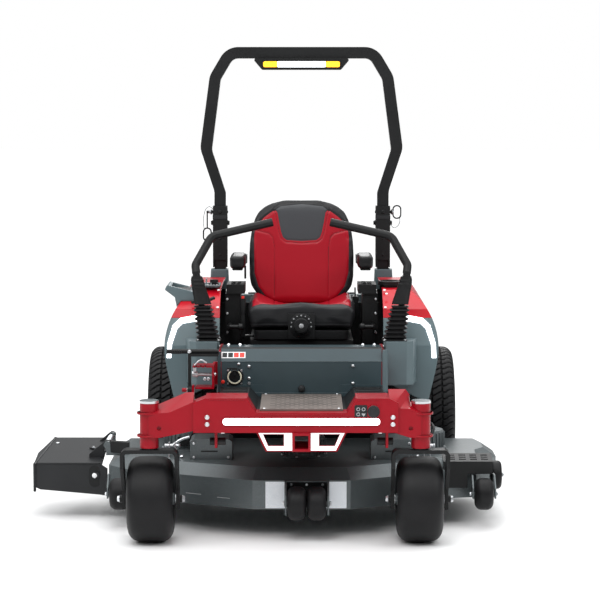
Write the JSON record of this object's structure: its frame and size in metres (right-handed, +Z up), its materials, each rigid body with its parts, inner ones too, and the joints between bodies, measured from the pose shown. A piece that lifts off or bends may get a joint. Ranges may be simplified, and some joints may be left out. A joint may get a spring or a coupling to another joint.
{
  "type": "zero turn mower",
  "caption": "Battery ride-on zero turn mower with a folding roll bar, sprung seat, lap bar steering, swivelling casters and a side-discharge cutting deck.",
  "frame": {"origin": "On the ground below the middle of the overall footprint.", "axes": "+Z is up, -Y is the driving direction (the casters), +X is to the right of the machine seen from in front, away from the chute."},
  "size_m": [1.904, 2.056, 1.926],
  "materials": {
    "armrest_left": "textured",
    "armrest_right": "textured",
    "battery_pack": "moulded case",
    "blade_centre": "bright zinc",
    "blade_left": "bright zinc",
    "blade_right": "bright zinc",
    "blade_switch": "moulded",
    "buckle_button": "moulded",
    "caster_fork_left": "powder coat",
    "caster_fork_right": "powder coat",
    "caster_wheel_left": "turf tread",
    "caster_wheel_right": "turf tread",
    "centre_rollers": "plain",
    "charge_port_cap": "textured",
    "chassis_fasteners": "bright zinc",
    "control_console": "moulded shell",
    "cup_holder": "textured",
    "deck_cover": "textured",
    "deck_motors": "satin",
    "deck_shell": "satin",
    "discharge_chute": "powder coat",
    "drive_motors": "powder coat",
    "fender_shell_left": "moulded shell",
    "fender_shell_right": "moulded shell",
    "fender_tops": "moulded shell",
    "floor_pan": "textured",
    "front_axle_beam": "gloss",
    "front_panel": "satin",
    "height_pin": "bright zinc",
    "key_switch": "bright zinc",
    "lamp_strips": "clear lens over white light",
    "lap_lever_left": "powder coat",
    "lap_lever_right": "powder coat",
    "lever_boot_left": "plain",
    "lever_boot_right": "plain",
    "lever_stub_left": "powder coat",
    "lever_stub_right": "powder coat",
    "lift_pedal": "powder coat",
    "light_bar": "powder coat",
    "main_frame": "gloss",
    "rear_guard": "gloss",
    "rear_hood": "satin",
    "rear_rim_left": "satin",
    "rear_rim_right": "satin",
    "rear_tyre_left": "turf tread",
    "rear_tyre_right": "turf tread",
    "rops_hoop": "powder coat",
    "rops_pin_left": "bright zinc",
    "rops_pin_right": "bright zinc",
    "rops_posts": "powder coat",
    "seat_backrest": "upholstery vinyl",
    "seat_cushion": "upholstery vinyl",
    "seat_pan": "textured",
    "seat_pedestal": "powder coat",
    "seat_suspension": "powder coat",
    "side_roller_left": "plain",
    "side_roller_outer": "plain",
    "side_roller_right": "plain",
    "suspension_knob": "textured",
    "tread_plate": "satin"
  },
  "bodies": {
    "chassis": {"main_frame": "main_frame", "front_axle_beam": "front_axle_beam", "chassis_fasteners": "chassis_fasteners", "floor_pan": "floor_pan", "tread_plate": "tread_plate", "front_panel": "front_panel", "fender_shell_left": "fender_shell_left", "fender_shell_right": "fender_shell_right", "fender_tops": "fender_tops", "lamp_strips": "lamp_strips", "cup_holder": "cup_holder", "control_console": "control_console", "rops_posts": "rops_posts", "battery_pack": "battery_pack", "drive_motors": "drive_motors", "rear_guard": "rear_guard", "seat_pedestal": "seat_pedestal", "lever_boot_left": "lever_boot_left", "lever_boot_right": "lever_boot_right"},
    "port_cap": {"charge_port_cap": "charge_port_cap"},
    "key": {"key_switch": "key_switch"},
    "blade_knob": {"blade_switch": "blade_switch"},
    "hood": {"rear_hood": "rear_hood"},
    "drive_wheel_left": {"rear_tyre_left": "rear_tyre_left", "rear_rim_left": "rear_rim_left"},
    "drive_wheel_right": {"rear_tyre_right": "rear_tyre_right", "rear_rim_right": "rear_rim_right"},
    "fork_left": {"caster_fork_left": "caster_fork_left"},
    "fork_right": {"caster_fork_right": "caster_fork_right"},
    "caster_left": {"caster_wheel_left": "caster_wheel_left"},
    "caster_right": {"caster_wheel_right": "caster_wheel_right"},
    "hoop": {"rops_hoop": "rops_hoop", "light_bar": "light_bar"},
    "lock_pin_left": {"rops_pin_left": "rops_pin_left"},
    "lock_pin_right": {"rops_pin_right": "rops_pin_right"},
    "deck": {"deck_shell": "deck_shell", "deck_cover": "deck_cover", "deck_motors": "deck_motors"},
    "cutter_left": {"blade_left": "blade_left"},
    "cutter_centre": {"blade_centre": "blade_centre"},
    "cutter_right": {"blade_right": "blade_right"},
    "rollers_centre": {"centre_rollers": "centre_rollers"},
    "roller_left": {"side_roller_left": "side_roller_left"},
    "roller_right": {"side_roller_right": "side_roller_right"},
    "roller_outer": {"side_roller_outer": "side_roller_outer"},
    "chute": {"discharge_chute": "discharge_chute"},
    "suspension": {"seat_suspension": "seat_suspension"},
    "seat": {"seat_pan": "seat_pan", "seat_cushion": "seat_cushion"},
    "backrest": {"seat_backrest": "seat_backrest"},
    "arm_left": {"armrest_left": "armrest_left"},
    "arm_right": {"armrest_right": "armrest_right"},
    "weight_knob": {"suspension_knob": "suspension_knob"},
    "buckle": {"buckle_button": "buckle_button"},
    "stub_left": {"lever_stub_left": "lever_stub_left"},
    "stub_right": {"lever_stub_right": "lever_stub_right"},
    "bar_left": {"lap_lever_left": "lap_lever_left"},
    "bar_right": {"lap_lever_right": "lap_lever_right"},
    "pedal": {"lift_pedal": "lift_pedal"},
    "cut_height_pin": {"height_pin": "height_pin"}
  },
  "joints": [
    {"name": "drive_wheel_left_spin", "type": "hinge", "parent": "chassis", "child": "drive_wheel_left", "pos_m": [-0.382, 0.457, 0.305], "axis": [1, 0, 0], "continuous": true},
    {"name": "caster_left_swivel", "type": "hinge", "parent": "chassis", "child": "fork_left", "pos_m": [-0.445, -0.943, 0.46], "axis": [0, 0, 1], "continuous": true},
    {"name": "caster_left_spin", "type": "hinge", "parent": "fork_left", "child": "caster_left", "pos_m": [-0.445, -0.863, 0.165], "axis": [1, 0, 0], "continuous": true},
    {"name": "lock_pin_left_pull", "type": "slide", "parent": "hoop", "child": "lock_pin_left", "axis": [-1, 0, 0], "range_m": [0, 0.075]},
    {"name": "armrest_left_lift", "type": "hinge", "parent": "backrest", "child": "arm_left", "pos_m": [-0.108, 0.369, 1.005], "axis": [-1, 0, 0], "range_deg": [0, 90]},
    {"name": "lever_left_drive", "type": "hinge", "parent": "chassis", "child": "stub_left", "pos_m": [-0.229, -0.338, 0.64], "axis": [1, 0, 0], "range_deg": [-15, 20], "stiffness_Nm_per_rad": 180, "deforming": ["lever_boot_left"]},
    {"name": "lever_left_swing_out", "type": "hinge", "parent": "stub_left", "child": "bar_left", "pos_m": [-0.292, -0.338, 0.968], "axis": [0, -1, 0], "range_deg": [0, 40]},
    {"name": "drive_wheel_right_spin", "type": "hinge", "parent": "chassis", "child": "drive_wheel_right", "pos_m": [0.648, 0.457, 0.305], "axis": [1, 0, 0], "continuous": true},
    {"name": "caster_right_swivel", "type": "hinge", "parent": "chassis", "child": "fork_right", "pos_m": [0.586, -0.943, 0.46], "axis": [0, 0, 1], "continuous": true},
    {"name": "caster_right_spin", "type": "hinge", "parent": "fork_right", "child": "caster_right", "pos_m": [0.586, -0.863, 0.165], "axis": [1, 0, 0], "continuous": true},
    {"name": "lock_pin_right_pull", "type": "slide", "parent": "hoop", "child": "lock_pin_right", "axis": [1, 0, 0], "range_m": [0, 0.075]},
    {"name": "armrest_right_lift", "type": "hinge", "parent": "backrest", "child": "arm_right", "pos_m": [0.374, 0.369, 1.005], "axis": [-1, 0, 0], "range_deg": [0, 90]},
    {"name": "lever_right_drive", "type": "hinge", "parent": "chassis", "child": "stub_right", "pos_m": [0.495, -0.338, 0.64], "axis": [1, 0, 0], "range_deg": [-15, 20], "stiffness_Nm_per_rad": 180, "deforming": ["lever_boot_right"]},
    {"name": "lever_right_swing_out", "type": "hinge", "parent": "stub_right", "child": "bar_right", "pos_m": [0.558, -0.338, 0.968], "axis": [0, 1, 0], "range_deg": [0, 40]},
    {"name": "roll_bar_fold", "type": "hinge", "parent": "chassis", "child": "hoop", "pos_m": [0.133, 0.56, 1.15], "axis": [-1, 0, 0], "range_deg": [0, 90]},
    {"name": "deck_lift", "type": "slide", "parent": "chassis", "child": "deck", "axis": [0, 0, 1], "range_m": [-0.06, 0]},
    {"name": "lift_pedal_press", "type": "hinge", "parent": "chassis", "child": "pedal", "pos_m": [-0.307, -0.623, 0.555], "axis": [-1, 0, 0], "range_deg": [0, 18.5]},
    {"name": "blade_left_spin", "type": "hinge", "parent": "deck", "child": "cutter_left", "pos_m": [-0.347, -0.223, 0.138], "axis": [0, 0, 1], "continuous": true},
    {"name": "blade_centre_spin", "type": "hinge", "parent": "deck", "child": "cutter_centre", "pos_m": [0.143, -0.423, 0.138], "axis": [0, 0, 1], "continuous": true},
    {"name": "blade_right_spin", "type": "hinge", "parent": "deck", "child": "cutter_right", "pos_m": [0.633, -0.223, 0.138], "axis": [0, 0, 1], "continuous": true},
    {"name": "centre_rollers_spin", "type": "hinge", "parent": "deck", "child": "rollers_centre", "pos_m": [0.153, -0.863, 0.147], "axis": [1, 0, 0], "continuous": true},
    {"name": "side_roller_left_spin", "type": "hinge", "parent": "deck", "child": "roller_left", "pos_m": [-0.591, -0.583, 0.134], "axis": [1, 0, 0], "continuous": true},
    {"name": "side_roller_right_spin", "type": "hinge", "parent": "deck", "child": "roller_right", "pos_m": [0.857, -0.583, 0.134], "axis": [1, 0, 0], "continuous": true},
    {"name": "side_roller_outer_spin", "type": "hinge", "parent": "deck", "child": "roller_outer", "pos_m": [0.925, -0.343, 0.171], "axis": [1, 0, 0], "continuous": true},
    {"name": "chute_lift", "type": "hinge", "parent": "deck", "child": "chute", "pos_m": [-0.659, -0.203, 0.292], "axis": [0, 1, 0], "range_deg": [0, 80]},
    {"name": "seat_suspension_travel", "type": "slide", "parent": "chassis", "child": "suspension", "axis": [0, 0, 1], "range_m": [-0.04, 0], "stiffness_N_per_m": 12000, "springref_m": 0.08},
    {"name": "seat_fore_aft", "type": "slide", "parent": "suspension", "child": "seat", "axis": [0, -1, 0], "range_m": [0, 0.08]},
    {"name": "backrest_recline", "type": "hinge", "parent": "seat", "child": "backrest", "pos_m": [0.133, 0.377, 0.8], "axis": [-1, 0, 0], "range_deg": [0, 15]},
    {"name": "weight_knob_turn", "type": "hinge", "parent": "seat", "child": "weight_knob", "pos_m": [0.132, -0.169, 0.763], "axis": [0, 1, 0], "continuous": true},
    {"name": "buckle_button_press", "type": "slide", "parent": "seat", "child": "buckle", "axis": [0, 0, 1], "range_m": [-0.005, 0], "stiffness_N_per_m": 300, "springref_m": 0.004},
    {"name": "height_pin_pull", "type": "slide", "parent": "chassis", "child": "cut_height_pin", "axis": [-1, 0, 0], "range_m": [0, 0.012]},
    {"name": "port_cap_open", "type": "hinge", "parent": "chassis", "child": "port_cap", "pos_m": [-0.134, -0.509, 0.618], "axis": [-1, 0, 0], "range_deg": [0, 100]},
    {"name": "key_turn", "type": "hinge", "parent": "chassis", "child": "key", "pos_m": [-0.267, 0.017, 0.92], "axis": [0, 0, 1], "range_deg": [-90, 0]},
    {"name": "blade_switch_pull", "type": "slide", "parent": "chassis", "child": "blade_knob", "axis": [0, 0, 1], "range_m": [0, 0.012]},
    {"name": "rear_hood_open", "type": "hinge", "parent": "chassis", "child": "hood", "pos_m": [0.133, 0.941, 0.722], "axis": [-1, 0, 0], "range_deg": [0, 55]}
  ],
  "couplings": [
    {"joint": "lift_pedal_press", "follows": "deck_lift", "rad_per_m": -5.236}
  ]
}
